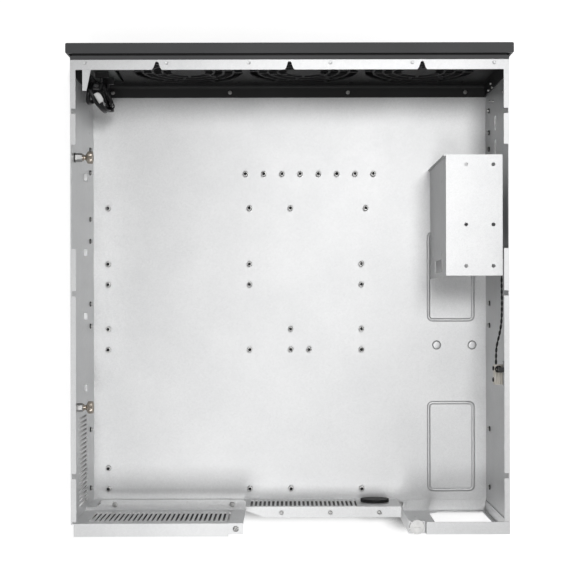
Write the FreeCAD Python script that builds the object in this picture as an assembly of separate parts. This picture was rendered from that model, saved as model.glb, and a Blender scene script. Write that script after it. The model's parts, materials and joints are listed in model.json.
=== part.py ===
import FreeCAD, Part
import math
import os

# Rackmount computer case, four rack units high, lid off.
# Millimetres. The bezel faces -Y, the rear panels face +Y, +Z is up and z = 0 is the underside.
# The I/O side is +X and the power-supply side is -X.
# An inset is measured from a side wall's inner face, a run from the front face, a back run from the rear.

V = FreeCAD.Vector
INCH = 25.4
OVER = 1.0
TINY = 1e-6

# Body
WIDTH = 440.0
HEIGHT = 176.0
DEPTH = 495.0
SHEET = 1.2
RUN_GAP = 0.4

# Bezel, trim and top rail, from the front face backwards
BEZEL_OVERHANG = 4.75
BEZEL_DEPTH = 10.7
BEZEL_WALL = 2.5
BEZEL_EDGE = 1.0
BEZEL_TAB = 30.0
SHADOW_GAP = 2.5
TRIM_DEPTH = 4.1
TRIM_HEIGHT = 5.8
RAIL_DEPTH = 9.9
NOTCH_PITCH = 133.0
NOTCH_COUNT = 3
NOTCH_MOUTH = 9.8
NOTCH_FLARE = 2.2
NOTCH_WAIST = 6.6
NOTCH_TIP = 3.8
NOTCH_WEB = 1.4
HOOK_INSET = 11.0
HOOK_ROOT = 8.5
HOOK_TIP = 4.1
HOOK_REACH = 20.7

# Front wall with its fan guards
LIP_DEPTH = 13.9
WALL_LEAN = 3.4
FAN_INSET = 80.2
FAN_PITCH = 123.5
FAN_HOLES = 105.0
FAN_HOLE_R = 2.2
GUARD_WEB = 6.5
GUARD_LIFT = 9.3
GUARD_MARGIN = 3.5
HUB_R = 18.6
RING_COUNT = 3
RING_WIDTH = 2.2
SPOKES = 6
SPOKE_WIDTH = 3.0
SPOKE_TWIST = 11.0
GUARD_CHORDS = 3

# Bezel grille
GRILLE_MARGIN = 3.5
GRILLE_LAP = 4.0
GRILLE_SHEET = 1.6
LOUVRE_ROWS = 11
LOUVRE_HEIGHT = 6.0
LOUVRE_WEB = 11.5

# Front controls and their board, stacked downwards from the power button
CONTROL_INSET = 20.8
POWER_Z = 98.0
POWER_SIZE = 12.0
RESET_DROP = 18.0
RESET_SIZE = 4.8
PIPE_DROP = 9.0
PIPE_PITCH = 6.5
PIPE_WIDTH = 5.0
PIPE_HEIGHT = 2.0
USB_DROP = 14.5
USB_PITCH = 12.0
USB_WIDTH = 13.2
USB_HEIGHT = 5.9
USB_WALL = 0.5
TONGUE_WIDTH = 11.0
TONGUE_HEIGHT = 1.9
BUTTON_PROUD = 0.4
BUTTON_COLLAR = 1.7
COLLAR_SHEET = 1.2
STEM_SIZE = 3.2
BUTTON_TRAVEL = 1.5
SWITCH_SIZE = 6.0
SWITCH_DEPTH = 3.5
BOARD_BACK = 16.1
BOARD_SHEET = 1.6
BOARD_WIDTH = 28.0
BOARD_OVER = 14.0
BOARD_UNDER = 12.0
BOARD_EDGE = 3.2
POST_SIZE = 5.6
LEAD_WINDOW_MARGIN = 4.0
HEADER_WIDTH = 14.0
HEADER_DEPTH = 6.0
HEADER_HEIGHT = 7.0
PANEL_HEADER_DROP = 6.0
BOSS_SIZE = 8.0
BOSS_DROP = 24.0
BOSS_INSET = 28.8
BOSS_COUNT = 4

# Side panels
SIDE_FOOT = 14.0
SIDE_FLANGE = 5.5
FLANGE_BACK_RUN = 14.7
FLANGE_GAP_RUN = 102.0
FLANGE_GAP = 104.5
FLANGE_NOTCH = 5.3
FLANGE_NOTCH_FRONT = 68.6
FLANGE_NOTCH_MIDDLE = 3.9
FLANGE_NOTCH_BACK = 60.5
RAIL_HOLE_RISE = 32.0
RAIL_HOLE_R = 1.65
RAIL_HOLE_RUNS = (50.5, 74.5, 92.5, 117.5, 168.5, 192.5)
RAIL_HOLE_BACK_RUNS = (233.9, 209.7, 96.5, 32.5)
WALL_VENT_BACK_RUN = 21.5
WALL_VENT_LENGTH = 95.0
WALL_VENT_RISE = 56.0
WALL_VENT_HEIGHT = 62.0
WALL_VENT_COUNT = 20
LOOP_RUNS = (126.5, 206.5)
LOOP_BACK_RUNS = (220.5, 144.5)
LOOP_LIFT = 74.6
LOOP_WIDTH = 7.0
LOOP_HEIGHT = 11.0
LOOP_RISE = 3.4
PORT_RUNS = (69.5, 94.5)
PORT_RISE = 79.0
PORT_R = 8.0

# Captive thumbscrews on the I/O-side wall
KNOB_RUN = 112.7
KNOB_BACK_RUN = 128.2
KNOB_DROP = 23.6
BUSHING_ACROSS = 7.8
BUSHING_LENGTH = 7.9
KNOB_SHANK_R = 2.0
KNOB_NECK = 3.2
KNOB_COLLAR = 1.1
KNOB_HEAD = 7.5
KNOB_HEAD_R = 6.2
KNOB_FLUTES = 14
FLUTE_DEPTH = 0.5

# Floor
BEAD_CLEARANCE = 0.8
BEAD_SPAN = 51.9
BEAD_LENGTH = 99.4
BEAD_RUN = 181.3
BEAD_BACK_RUN = 24.9
BEAD_WIDTH = 2.4
BEAD_RISE = 0.8
BEAD_CORNER = 6.0
DOME_INSETS = (55.0, 15.5)
DOME_BACK_RUN = 187.5
DOME_R = 4.5

# Motherboard standoffs: columns and rows in inches from the rear hole of the I/O-side column
STANDOFF_INSET = 16.5
STANDOFF_BACK = 12.1
STANDOFF_ACROSS = 6.0
STANDOFF_HEIGHT = 6.5
STANDOFF_BORE_R = 1.25
STANDOFF_COLUMNS = (
    (0.0, (0.0, 0.9, 6.1, 7.0, 8.95, 9.85, 12.3)),
    (6.2, (0.0, 6.1, 8.95, 9.85, 12.3)),
    (8.0, (0.0, 6.1, 7.0, 12.3)),
    (8.8, (6.1,)),
    (11.1, (0.0, 6.1, 7.0, 8.95, 9.85)),
    (11.3, (12.3,)),
)
BOARD_COLUMNS = (0.0, 11.1)
BOARD_ROWS = (0.0, 8.95)
SPARE_ROW = 13.8
SPARE_FIRST = 6.03
SPARE_PITCH = 0.8
SPARE_COUNT = 8

# Rear: lower panel, fan plate and power-supply panel
REAR_WALL_BACK_RUN = 15.9
REAR_FOOT = 12.0
PANEL_RISE = 66.0
IO_ZONE = 171.3
IO_INSET = 88.3
IO_LIFT = 5.9
IO_WIDTH = 158.75
IO_HEIGHT = 44.45
LEDGE_DEPTH = 6.4
LEDGE_INSET = 10.4
LEDGE_CHAMFER = 7.7
SLOT_LEDGE = 11.4
SLOT_CHAMFER_X = 20.2
SLOT_CHAMFER_Y = 7.0
SLOT_HOLE_START = 38.5
SLOT_HOLE_PITCH = 52.7
SLOT_HOLE_COUNT = 3
SLOT_HOLE_EDGE = 4.33
SLOT_HOLE_R = 1.8
SLOT_VENT_INSET = 3.1
SLOT_VENT_END = 45.5
SLOT_VENT_LIFT = 10.4
SLOT_VENT_HEIGHT = 48.0
SLOT_VENT_COUNT = 25
VENT_FILL = 0.56
GROMMET_INSET = 26.0
GROMMET_LIFT = 22.0
GROMMET_HOLE_R = 13.0
GROMMET_LIP = 2.5
GROMMET_RIM = 3.2
FAN_PLATE_BACK_RUN = 13.2
PLATE_FLANGE_INSET = 1.5
LID_TAB_WIDTH = 14.5
PLATE_LIP_START = 29.5
PLATE_LIP = 12.0
LID_TAB = 10.9
LID_TAB_DROP = 1.6
PLATE_HOLE_DROP = 40.0
PLATE_HOLE_R = 2.0
PLATE_VENT_START = 13.5
PLATE_VENT_INSET = 12.8
PLATE_VENT_COUNT = 30
PLATE_VENT_LIFT = 25.0
PLATE_VENT_HEIGHT = 64.0
PSU_ZONE = 99.8
PSU_WALL_BACK_RUN = 3.0
PSU_FLANGE = 11.3
PSU_FLANGE_END = 17.4
PSU_FOOT_INSET = 2.4
PSU_FOOT_END = 9.9
PSU_FOOT = 11.9
PSU_FOOT_CORNER = 4.0
PSU_OPENING_INSET = 5.5
PSU_OPENING_END = 33.8
PSU_OPENING_LIFT = 11.0
PSU_OPENING_DROP = 24.0
PSU_CHAMFER = 10.0
PSU_HOLE_SPOTS = ((8.2, 30.0), (17.0, 47.6), (17.5, 74.1))
PSU_HOLE_R = 1.8
THUMB_END = 7.8
THUMB_EDGE = 6.1
THUMB_R = 7.5
THUMB_HEAD = 5.6
THUMB_SHANK = 10.0
THUMB_FLUTES = 16
DRIVER_SLOT = 1.2
DRIVER_SLOT_LENGTH = 6.8

# Drive cage
CAGE_INSET = 5.2
CAGE_WIDTH = 56.8
CAGE_RUN = 112.3
CAGE_LENGTH = 121.6
CAGE_TOP_DROP = 3.6
CAGE_FOOT_INSET = 2.5
CAGE_DROP = 14.0
CAGE_RETURN = 2.4
CAGE_HOLE_EDGE = 20.2
CAGE_HOLE_PITCH = 27.4
CAGE_HOLE_RUNS = (9.9, 70.3, 111.9)
CAGE_HOLE_R = 1.9
DRIVE_RUN = 60.0
DRIVE_RISE = 79.0
DRIVE_HOLES_Y = 76.2
DRIVE_HOLES_Z = 95.25
DRIVE_HOLE_R = 1.75
DRIVE_SLOT = 6.5
CAGE_WINDOW_EDGE = 4.9
CAGE_WINDOW_LENGTH = 13.1
CAGE_WINDOW_RISE = 55.2
CAGE_WINDOW_HEIGHT = 70.9
CAGE_RELIEF = 2.0

# Lid-intrusion switch on the power-supply-side wall
GUARD_BACK_RUN = 150.6
GUARD_LENGTH = 20.3
GUARD_WIDTH = 9.0
GUARD_HEIGHT = 10.0
GUARD_DROP = 33.6
GUARD_BRACKET = 2.2
GUARD_BRACKET_MARGIN = 3.0
PLUNGER_INSET = 4.6
PLUNGER_SIZE = 3.2
PLUNGER_CAP_SIZE = 5.2
PLUNGER_CAP = 2.0
PLUNGER_DROP = 4.0
PLUNGER_SEAT = 7.5
PLUNGER_TRAVEL = 3.0

# Leads: radii, plugs and the blank tag
USB_LEAD_R = 1.75
PANEL_LEAD_R = 1.5
GUARD_LEAD_R = 1.2
GUARD_EXIT = (6.5, 4.5)
BEND_SHARE = 0.45
CORD_SIDES = 6
ROUND_SIDES = 16
PLUG_SIZE = (11.0, 6.0, 15.0)
PANEL_PLUG_SIZE = (13.0, 3.0, 14.0)
GUARD_PLUG_SIZE = (2.6, 13.0, 5.2)
TAG_SHEET = 0.6
TAG_LENGTH = 15.0
TAG_WIDTH = 6.4
TAG_SLEEVE = 4.4
TAG_SWING = 52.0
TAG_STEP = (11.25, 20.4, 65.8)


def around(middle, size):
    return (middle - size / 2, middle + size / 2)


def spread(reach, count):
    # Evenly spaced places from +reach to -reach
    return [reach - 2 * reach * i / (count - 1) for i in range(count)]


def centred(pitch, count):
    return [pitch * ((count - 1) / 2 - i) for i in range(count)]


# Body and front places
half = WIDTH / 2
inner = half - SHEET
floor_top = 2 * SHEET
top_under = HEIGHT - SHEET
front = -DEPTH / 2
rear = DEPTH / 2
bezel_half = half + BEZEL_OVERHANG
bezel_back = front + BEZEL_DEPTH
sheet_back = front + BEZEL_WALL
trim_front = bezel_back + SHADOW_GAP
trim_back = trim_front + TRIM_DEPTH
rail_back = trim_back + RAIL_DEPTH
seat_z = HEIGHT - TRIM_HEIGHT
notch_x = centred(NOTCH_PITCH, NOTCH_COUNT)
hook_x = inner - HOOK_INSET

# Front board and control places
control_x = inner - CONTROL_INSET
reset_z = POWER_Z - RESET_DROP
pipe_z = (reset_z - PIPE_DROP, reset_z - PIPE_DROP - PIPE_PITCH)
usb_z = (pipe_z[1] - USB_DROP, pipe_z[1] - USB_DROP - USB_PITCH)
board_back = front + BOARD_BACK
board_front = board_back - BOARD_SHEET
switch_front = board_front - SWITCH_DEPTH
board_x = around(control_x, BOARD_WIDTH)
board_z = (usb_z[1] - BOARD_UNDER, POWER_Z + BOARD_OVER)
post_x = around(control_x, BOARD_WIDTH - 2 * BOARD_EDGE)
post_z = (board_z[0] + BOARD_EDGE, board_z[1] - BOARD_EDGE)
usb_header_z = (usb_z[0] + usb_z[1]) / 2
panel_header_z = POWER_Z - PANEL_HEADER_DROP
lead_window_x = around(control_x, BOARD_WIDTH + LEAD_WINDOW_MARGIN)
boss_z = HEIGHT - BOSS_DROP
boss_x = spread(inner - BOSS_INSET, BOSS_COUNT)

# Front wall places: as many fan guards as fit between the far wall and the lead window
foot_y = trim_back
lip_back = foot_y + LIP_DEPTH
lip_top = floor_top + SHEET
lean = math.tan(math.radians(WALL_LEAN))
guard_r = (FAN_PITCH - GUARD_WEB) / 2
fan_z = lip_top + GUARD_LIFT + guard_r
bend_z = fan_z + guard_r + GUARD_MARGIN
wall_top_y = foot_y - (bend_z - lip_top) * lean
fan_count = int((lead_window_x[0] - GUARD_WEB - guard_r + inner - FAN_INSET) // FAN_PITCH) + 1
fan_centres = [FAN_INSET - inner + FAN_PITCH * i for i in range(fan_count)]
louvre_width = FAN_PITCH - LOUVRE_WEB

# Side wall places
flange_end = rear - FLANGE_BACK_RUN
flange_gap = (front + FLANGE_GAP_RUN, front + FLANGE_GAP_RUN + FLANGE_GAP)
flange_notch_y = (front + FLANGE_NOTCH_FRONT, FLANGE_NOTCH_MIDDLE, rear - FLANGE_NOTCH_BACK)
rail_hole_y = [front + run for run in RAIL_HOLE_RUNS] + [rear - run for run in RAIL_HOLE_BACK_RUNS]
rail_hole_z = floor_top + RAIL_HOLE_RISE
wall_vent_y = (rear - WALL_VENT_BACK_RUN - WALL_VENT_LENGTH, rear - WALL_VENT_BACK_RUN)
wall_vent_z = (floor_top + WALL_VENT_RISE, floor_top + WALL_VENT_RISE + WALL_VENT_HEIGHT)
loop_y = [front + run for run in LOOP_RUNS] + [rear - run for run in LOOP_BACK_RUNS]
loop_z = floor_top + LOOP_LIFT
port_y = [front + run for run in PORT_RUNS]
port_z = floor_top + PORT_RISE
knob_y = (front + KNOB_RUN, rear - KNOB_BACK_RUN)
knob_z = HEIGHT - KNOB_DROP
knob_bore = KNOB_SHANK_R + RUN_GAP

# Floor places: the beads run past the drive cage's side
cage_x = (CAGE_INSET - inner, CAGE_INSET + CAGE_WIDTH - inner)
bead_edge = cage_x[1] + BEAD_CLEARANCE + BEAD_WIDTH
bead_x = (bead_edge - BEAD_SPAN, bead_edge)
bead_y = ((front + BEAD_RUN, front + BEAD_RUN + BEAD_LENGTH),
          (rear - BEAD_BACK_RUN - BEAD_LENGTH, rear - BEAD_BACK_RUN))
dome_spots = [(inset - inner, rear - DOME_BACK_RUN) for inset in DOME_INSETS]

# Rear places
rear_wall = rear - REAR_WALL_BACK_RUN
standoff_x = inner - STANDOFF_INSET
standoff_y = rear_wall - STANDOFF_BACK
panel_top = floor_top + PANEL_RISE
io_end = inner - IO_ZONE
io_x = inner - IO_INSET
io_z = floor_top + IO_LIFT
psu_end = PSU_ZONE - inner
ledge_in = rear_wall - LEDGE_DEPTH
ledge_x = inner - LEDGE_INSET
slot_back = rear_wall + SLOT_LEDGE
slot_hole_x = [io_end - SLOT_HOLE_START - SLOT_HOLE_PITCH * i for i in range(SLOT_HOLE_COUNT)]
slot_hole_y = slot_back - SLOT_HOLE_EDGE
slot_vent_x = (psu_end + SLOT_VENT_END, io_end - SLOT_VENT_INSET)
slot_vent_z = (floor_top + SLOT_VENT_LIFT, floor_top + SLOT_VENT_LIFT + SLOT_VENT_HEIGHT)
grommet_x = psu_end + GROMMET_INSET
grommet_z = floor_top + GROMMET_LIFT
grommet_r = GROMMET_HOLE_R + GROMMET_LIP
fan_plate = rear - FAN_PLATE_BACK_RUN
plate_back = fan_plate + SHEET
plate_flange_x = (io_end + LID_TAB_WIDTH, inner - PLATE_FLANGE_INSET)
plate_lip_x = io_end + PLATE_LIP_START
plate_hole_z = HEIGHT - PLATE_HOLE_DROP
lid_tab_top = HEIGHT - LID_TAB_DROP
plate_hole_x = io_end + LID_TAB_WIDTH / 2
plate_vent_x = (io_end + PLATE_VENT_START, inner - PLATE_VENT_INSET)
plate_vent_z = (panel_top + PLATE_VENT_LIFT, panel_top + PLATE_VENT_LIFT + PLATE_VENT_HEIGHT)
psu_wall = rear - PSU_WALL_BACK_RUN
psu_back = psu_wall + SHEET
psu_flange_x = psu_end - PSU_FLANGE_END
psu_foot_x = (PSU_FOOT_INSET - inner, psu_end - PSU_FOOT_END)
psu_opening_x = (PSU_OPENING_INSET - inner, psu_end - PSU_OPENING_END)
psu_opening_z = (floor_top + PSU_OPENING_LIFT, HEIGHT - PSU_OPENING_DROP)
psu_holes = [(psu_end - end, floor_top + lift) for end, lift in PSU_HOLE_SPOTS]
thumb_x = psu_end - THUMB_END
thumb_y = psu_wall - THUMB_EDGE
thumb_tab = HEIGHT - RUN_GAP - THUMB_HEAD

# Drive cage places
cage_y = (front + CAGE_RUN, front + CAGE_RUN + CAGE_LENGTH)
cage_top = HEIGHT - CAGE_TOP_DROP
cage_foot_x = CAGE_FOOT_INSET - inner
cage_hole_x = (cage_x[1] - CAGE_HOLE_EDGE, cage_x[1] - CAGE_HOLE_EDGE - CAGE_HOLE_PITCH)
cage_hole_y = [cage_y[0] + run for run in CAGE_HOLE_RUNS]
cage_window_y = (cage_y[1] - CAGE_WINDOW_EDGE - CAGE_WINDOW_LENGTH, cage_y[1] - CAGE_WINDOW_EDGE)
cage_window_z = (floor_top + CAGE_WINDOW_RISE, floor_top + CAGE_WINDOW_RISE + CAGE_WINDOW_HEIGHT)
drive_y = cage_y[0] + DRIVE_RUN
drive_z = floor_top + DRIVE_RISE

# Intrusion switch places
guard_x = (GUARD_BRACKET - inner, GUARD_BRACKET + GUARD_WIDTH - inner)
guard_y = (rear - GUARD_BACK_RUN - GUARD_LENGTH, rear - GUARD_BACK_RUN)
guard_z = (HEIGHT - GUARD_DROP, HEIGHT - GUARD_DROP + GUARD_HEIGHT)
plunger_x = (guard_x[0] + guard_x[1]) / 2
plunger_y = guard_y[0] + PLUNGER_INSET
plunger_top = HEIGHT - PLUNGER_DROP

# Places that the leads leave
usb_exit = (control_x, board_back + HEADER_DEPTH, usb_header_z)
panel_exit = (control_x, board_back + HEADER_DEPTH, panel_header_z)
guard_exit = (guard_x[0] + GUARD_EXIT[0], guard_y[0], guard_z[0] + GUARD_EXIT[1])


def box(x, y, z):
    return Part.makeBox(x[1] - x[0], y[1] - y[0], z[1] - z[0], V(x[0], y[0], z[0]))


def extrude(points, vector):
    wire = Part.makePolygon([V(*p) for p in points + points[:1]])
    return Part.Face(wire).extrude(V(*vector))


def along_x(points, x):
    return extrude([(x[0], y, z) for y, z in points], (x[1] - x[0], 0, 0))


def along_y(points, y):
    return extrude([(x, y[0], z) for x, z in points], (0, y[1] - y[0], 0))


def along_z(points, z):
    return extrude([(x, y, z[0]) for x, y in points], (0, 0, z[1] - z[0]))


def joined(shapes):
    return shapes[0].multiFuse(shapes[1:]).removeSplitter()


def cut(shape, tools):
    return shape.cut(Part.makeCompound(tools))


def bow(centre, radius, start, end, chords):
    # Points of an arc, angles in degrees
    angles = [math.radians(start + (end - start) * i / chords) for i in range(chords + 1)]
    return [(centre[0] + radius * math.cos(a), centre[1] + radius * math.sin(a)) for a in angles]


def rounded_plate(x, y, z, radius):
    # Each corner is drawn as a few chords
    outline = []
    for start, cx, cy in ((0, x[1] - radius, y[1] - radius), (90, x[0] + radius, y[1] - radius),
                          (180, x[0] + radius, y[0] + radius), (270, x[1] - radius, y[0] + radius)):
        outline += bow((cx, cy), radius, start, start + 90, ROUND_SIDES // 4)
    return along_z(outline, z)


def vent_slots(span, count):
    # Spans of narrow upright slots side by side
    pitch = (span[1] - span[0]) / count
    return [around(span[0] + pitch / 2 + pitch * i, pitch * VENT_FILL) for i in range(count)]


def regular(corners, start, end):
    # Prism over a ring of evenly turned corners, whose distances from the axis are given in order
    way = V(*end) - V(*start)
    turn = FreeCAD.Rotation(V(0, 0, 1), way)
    ring_of = []
    for i, reach in enumerate(corners):
        angle = math.pi * (2 * i + 1) / len(corners)
        ring_of.append(V(*start) + turn.multVec(V(reach * math.cos(angle), reach * math.sin(angle), 0)))
    return Part.Face(Part.makePolygon(ring_of + ring_of[:1])).extrude(way)


def prism(sides, across, start, end):
    # Regular prism, measured across its flats
    return regular([across / 2 / math.cos(math.pi / sides)] * sides, start, end)


def rod(radius, start, end):
    # Many-sided rod, which keeps round parts light in facets
    return prism(ROUND_SIDES, 2 * radius, start, end)


def round_hole(radius, start, end):
    # Truly round tool, for the holes that something is bolted to or led through
    axis = V(*end) - V(*start)
    return Part.makeCylinder(radius, axis.Length, V(*start), axis)


def small_hole(radius, start, end):
    # Eight-sided tool for the many small holes that nothing is centred by
    return prism(8, 2 * radius, start, end)


def knurled(radius, flutes, start, end):
    return regular([radius, radius - FLUTE_DEPTH] * flutes, start, end)


def guard_slots(cx):
    # Ring sectors between the hub, the rings and the rim, stepped round to make swept spokes
    slot = (guard_r - HUB_R - RING_COUNT * RING_WIDTH) / (RING_COUNT + 1)
    tools = []
    for ring_index in range(RING_COUNT + 1):
        r0 = HUB_R + ring_index * (slot + RING_WIDTH)
        for spoke in range(SPOKES):
            turn = math.radians(360.0 * spoke / SPOKES + SPOKE_TWIST * ring_index)
            tools.append(punched(ring_sector(r0, r0 + slot, turn), cx))
    return tools


def fan_holes(cx):
    reach = around(0, FAN_HOLES)
    holes = []
    for x in reach:
        for z in reach:
            holes.append(punched(round_hole(FAN_HOLE_R, (x, -2 * SHEET, z), (x, SHEET, z)), cx))
    return holes


def punched(tool, cx):
    # Turns a tool made round the Y axis square to the leaning sheet and moves it to a fan's centre
    tool.rotate(V(0, 0, 0), V(1, 0, 0), WALL_LEAN)
    tool.translate(V(cx, foot_y - (fan_z - lip_top) * lean, fan_z))
    return tool


def ring_sector(r0, r1, turn):
    # Each curved side is drawn as a few chords
    corners = []
    for r, way in ((r1, 1), (r0, -1)):
        reach = way * (math.pi / SPOKES - math.asin(SPOKE_WIDTH / 2 / r))
        angles = [turn + reach * (2 * i / GUARD_CHORDS - 1) for i in range(GUARD_CHORDS + 1)]
        corners += [V(r * math.cos(a), -2 * SHEET, r * math.sin(a)) for a in angles]
    return Part.Face(Part.makePolygon(corners + corners[:1])).extrude(V(0, 3 * SHEET, 0))


def floor_pan():
    z = (SHEET, floor_top)
    front_edge = foot_y - SHEET
    main = box((-inner, inner), (front_edge, rear_wall), z)
    tongue = box((-inner, psu_end), (rear_wall, psu_wall), z)
    rise = (floor_top, floor_top + BEAD_RISE)
    raised = []
    for y in bead_y:
        outer = rounded_plate(bead_x, y, rise, BEAD_CORNER)
        hole_x = (bead_x[0] + BEAD_WIDTH, bead_x[1] - BEAD_WIDTH)
        hole_y = (y[0] + BEAD_WIDTH, y[1] - BEAD_WIDTH)
        raised.append(outer.cut(rounded_plate(hole_x, hole_y, rise, BEAD_CORNER - BEAD_WIDTH)))
    for x, y in dome_spots:
        raised.append(rod(DOME_R, (x, y, rise[0]), (x, y, rise[1])))
    return joined([main, tongue] + raised)


def side_panel(side):
    back = plate_back if side > 0 else psu_back
    section = [(half, 0), (half, HEIGHT), (half - SIDE_FLANGE, HEIGHT), (half - SIDE_FLANGE, top_under),
               (inner, top_under), (inner, SHEET), (half - SIDE_FOOT, SHEET), (half - SIDE_FOOT, 0)]
    panel = along_y([(side * x, z) for x, z in section], (trim_front, back))
    flange_x = sorted((side * inner, side * (half - SIDE_FLANGE - SHEET)))
    flange_z = (top_under - SHEET / 2, HEIGHT + SHEET)
    end_x = sorted((side * (half + SHEET), side * (half - SIDE_FLANGE - SHEET)))
    tools = [box(end_x, (trim_front - SHEET, rail_back), (top_under, HEIGHT + SHEET))]
    tools.append(box(end_x, (trim_front - SHEET, trim_back), (seat_z, HEIGHT + SHEET)))
    tools.append(box(flange_x, flange_gap, flange_z))
    tools.append(box(flange_x, (flange_end, back + SHEET), flange_z))
    tools += [box(flange_x, around(y, FLANGE_NOTCH), flange_z) for y in flange_notch_y]
    through = (side * (inner - SHEET), side * (half + SHEET))
    for y in rail_hole_y:
        # The end holes locate a rail
        hole = round_hole if y in (rail_hole_y[0], rail_hole_y[-1]) else small_hole
        tools.append(hole(RAIL_HOLE_R, (through[0], y, rail_hole_z), (through[1], y, rail_hole_z)))
    if side > 0:
        tools += [box(sorted(through), y, wall_vent_z) for y in vent_slots(wall_vent_y, WALL_VENT_COUNT)]
        tools += [rod(knob_bore, (through[0], y, knob_z), (through[1], y, knob_z)) for y in knob_y]
        loops = [tie_loop(y) for y in loop_y]
        return cut(joined([panel] + loops), tools)
    tools += [round_hole(PORT_R, (through[0], y, port_z), (through[1], y, port_z)) for y in port_y]
    return cut(panel, tools)


def tie_loop(y):
    # Lanced bridge for a cable tie: open towards the front and the rear
    outer = box((inner - LOOP_RISE, inner), around(y, LOOP_WIDTH), around(loop_z, LOOP_HEIGHT))
    tunnel = box((inner - LOOP_RISE + SHEET, inner), around(y, LOOP_WIDTH + SHEET),
                 around(loop_z, LOOP_HEIGHT - 2 * SHEET))
    return outer.cut(tunnel)


def front_wall():
    section = [(lip_back, floor_top), (lip_back, lip_top), (foot_y, lip_top), (wall_top_y, bend_z),
               (wall_top_y, seat_z - SHEET), (trim_back + SHEET, seat_z - SHEET), (trim_back + SHEET, seat_z),
               (wall_top_y - SHEET, seat_z), (wall_top_y - SHEET, bend_z), (foot_y - SHEET, floor_top)]
    wall = along_x(section, (-inner, inner))
    end_flange = [(foot_y, lip_top), (lip_back, lip_top), (lip_back, seat_z - SHEET),
                  (wall_top_y, seat_z - SHEET), (wall_top_y, bend_z)]
    ends = [along_x(end_flange, x) for x in ((-inner, SHEET - inner), (inner - SHEET, inner))]
    span = (wall_top_y - 2 * SHEET, foot_y + SHEET)
    tools = []
    for cx in fan_centres:
        tools += guard_slots(cx) + fan_holes(cx)
    tools.append(box(lead_window_x, span, (board_z[0] - LEAD_WINDOW_MARGIN, board_z[1] + LEAD_WINDOW_MARGIN)))
    return cut(joined([wall] + ends), tools)


def front_trim():
    return box((-half, half), (trim_front, trim_back), (seat_z, HEIGHT))


def top_rail():
    flange = box((-half, half), (trim_back, rail_back), (top_under, HEIGHT))
    leg = box((-inner, inner), (trim_back, trim_back + SHEET), (seat_z, top_under))
    return cut(joined([flange, leg]), [bell_notch(x) for x in notch_x])


def bell_notch(x):
    # Round tip, spreading sides and a flared mouth at the rail's rear edge
    tip = bow((x, trim_back + NOTCH_WEB + NOTCH_TIP / 2), NOTCH_TIP / 2, 180, 360, ROUND_SIDES // 4)
    waist = rail_back - NOTCH_FLARE
    left, right = around(x, NOTCH_MOUTH)
    flare = [(around(x, NOTCH_WAIST)[1], waist), (right, rail_back), (right, rail_back + OVER)]
    flare += [(left, rail_back + OVER), (left, rail_back), (around(x, NOTCH_WAIST)[0], waist)]
    return along_z(tip + flare, (top_under - OVER, HEIGHT + OVER))


def harness_hook():
    # Tapered arm welded under the top rail
    root_y = trim_back + SHEET
    tip_y = rail_back + HOOK_REACH
    arm = [(hook_x, root_y), (hook_x, tip_y), (hook_x - HOOK_TIP, tip_y), (hook_x - HOOK_ROOT, rail_back),
           (hook_x - HOOK_ROOT, root_y)]
    return along_z(arm, (top_under - SHEET, top_under))


def bezel_frame():
    shell = box((-bezel_half, bezel_half), (front, bezel_back), (0, HEIGHT))
    rims = [e for e in shell.Edges if e.BoundBox.YMax < front + TINY]
    back_rims = [e for e in shell.Edges if e.BoundBox.YMin > bezel_back - TINY]
    rims += [e for e in back_rims if e.BoundBox.ZLength > BEZEL_EDGE]
    shell = shell.makeChamfer(BEZEL_EDGE, rims)
    hollow = box((BEZEL_WALL - bezel_half, bezel_half - BEZEL_WALL), (sheet_back, bezel_back + OVER),
                 (BEZEL_WALL, HEIGHT - BEZEL_WALL))
    reach = (front - OVER, sheet_back + OVER)
    tools = [hollow, box(grille_window()[0], reach, grille_window()[1])]
    for z, size in ((POWER_Z, POWER_SIZE), (reset_z, RESET_SIZE)):
        gap = size + 2 * RUN_GAP
        tools.append(box(around(control_x, gap), reach, around(z, gap)))
    tools += [box(around(control_x, PIPE_WIDTH), reach, around(z, PIPE_HEIGHT)) for z in pipe_z]
    tools += [box(around(control_x, USB_WIDTH), reach, around(z, USB_HEIGHT)) for z in usb_z]
    for tool in tools:
        shell = shell.cut(tool)
    posts = [box(around(x, POST_SIZE), (sheet_back, board_front), around(z, POST_SIZE))
             for x in post_x for z in post_z]
    posts += [box(around(x, BOSS_SIZE), (sheet_back, wall_top_y - SHEET), around(boss_z, BOSS_SIZE))
              for x in boss_x]
    tab_y = (bezel_back, foot_y - SHEET)
    tabs = [box(around(x, BEZEL_TAB), tab_y, (0, floor_top)) for x in notch_x]
    return joined([shell] + posts + tabs)


def grille_window():
    reach = guard_r + GRILLE_MARGIN
    return (fan_centres[0] - reach, fan_centres[-1] + reach), (fan_z - reach, fan_z + reach)


def bezel_grille():
    wx, wz = grille_window()
    x = (wx[0] - GRILLE_LAP, wx[1] + GRILLE_LAP)
    z = (max(wz[0] - GRILLE_LAP, BEZEL_WALL), wz[1] + GRILLE_LAP)
    plate = box(x, (sheet_back, sheet_back + GRILLE_SHEET), z)
    pitch = (wz[1] - wz[0]) / LOUVRE_ROWS
    reach = (sheet_back - OVER, sheet_back + GRILLE_SHEET + OVER)
    tools = []
    for cx in fan_centres:
        for row in range(LOUVRE_ROWS):
            middle = wz[0] + pitch / 2 + row * pitch
            tools.append(box(around(cx, louvre_width), reach, around(middle, LOUVRE_HEIGHT)))
    return cut(plate, tools)


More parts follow.
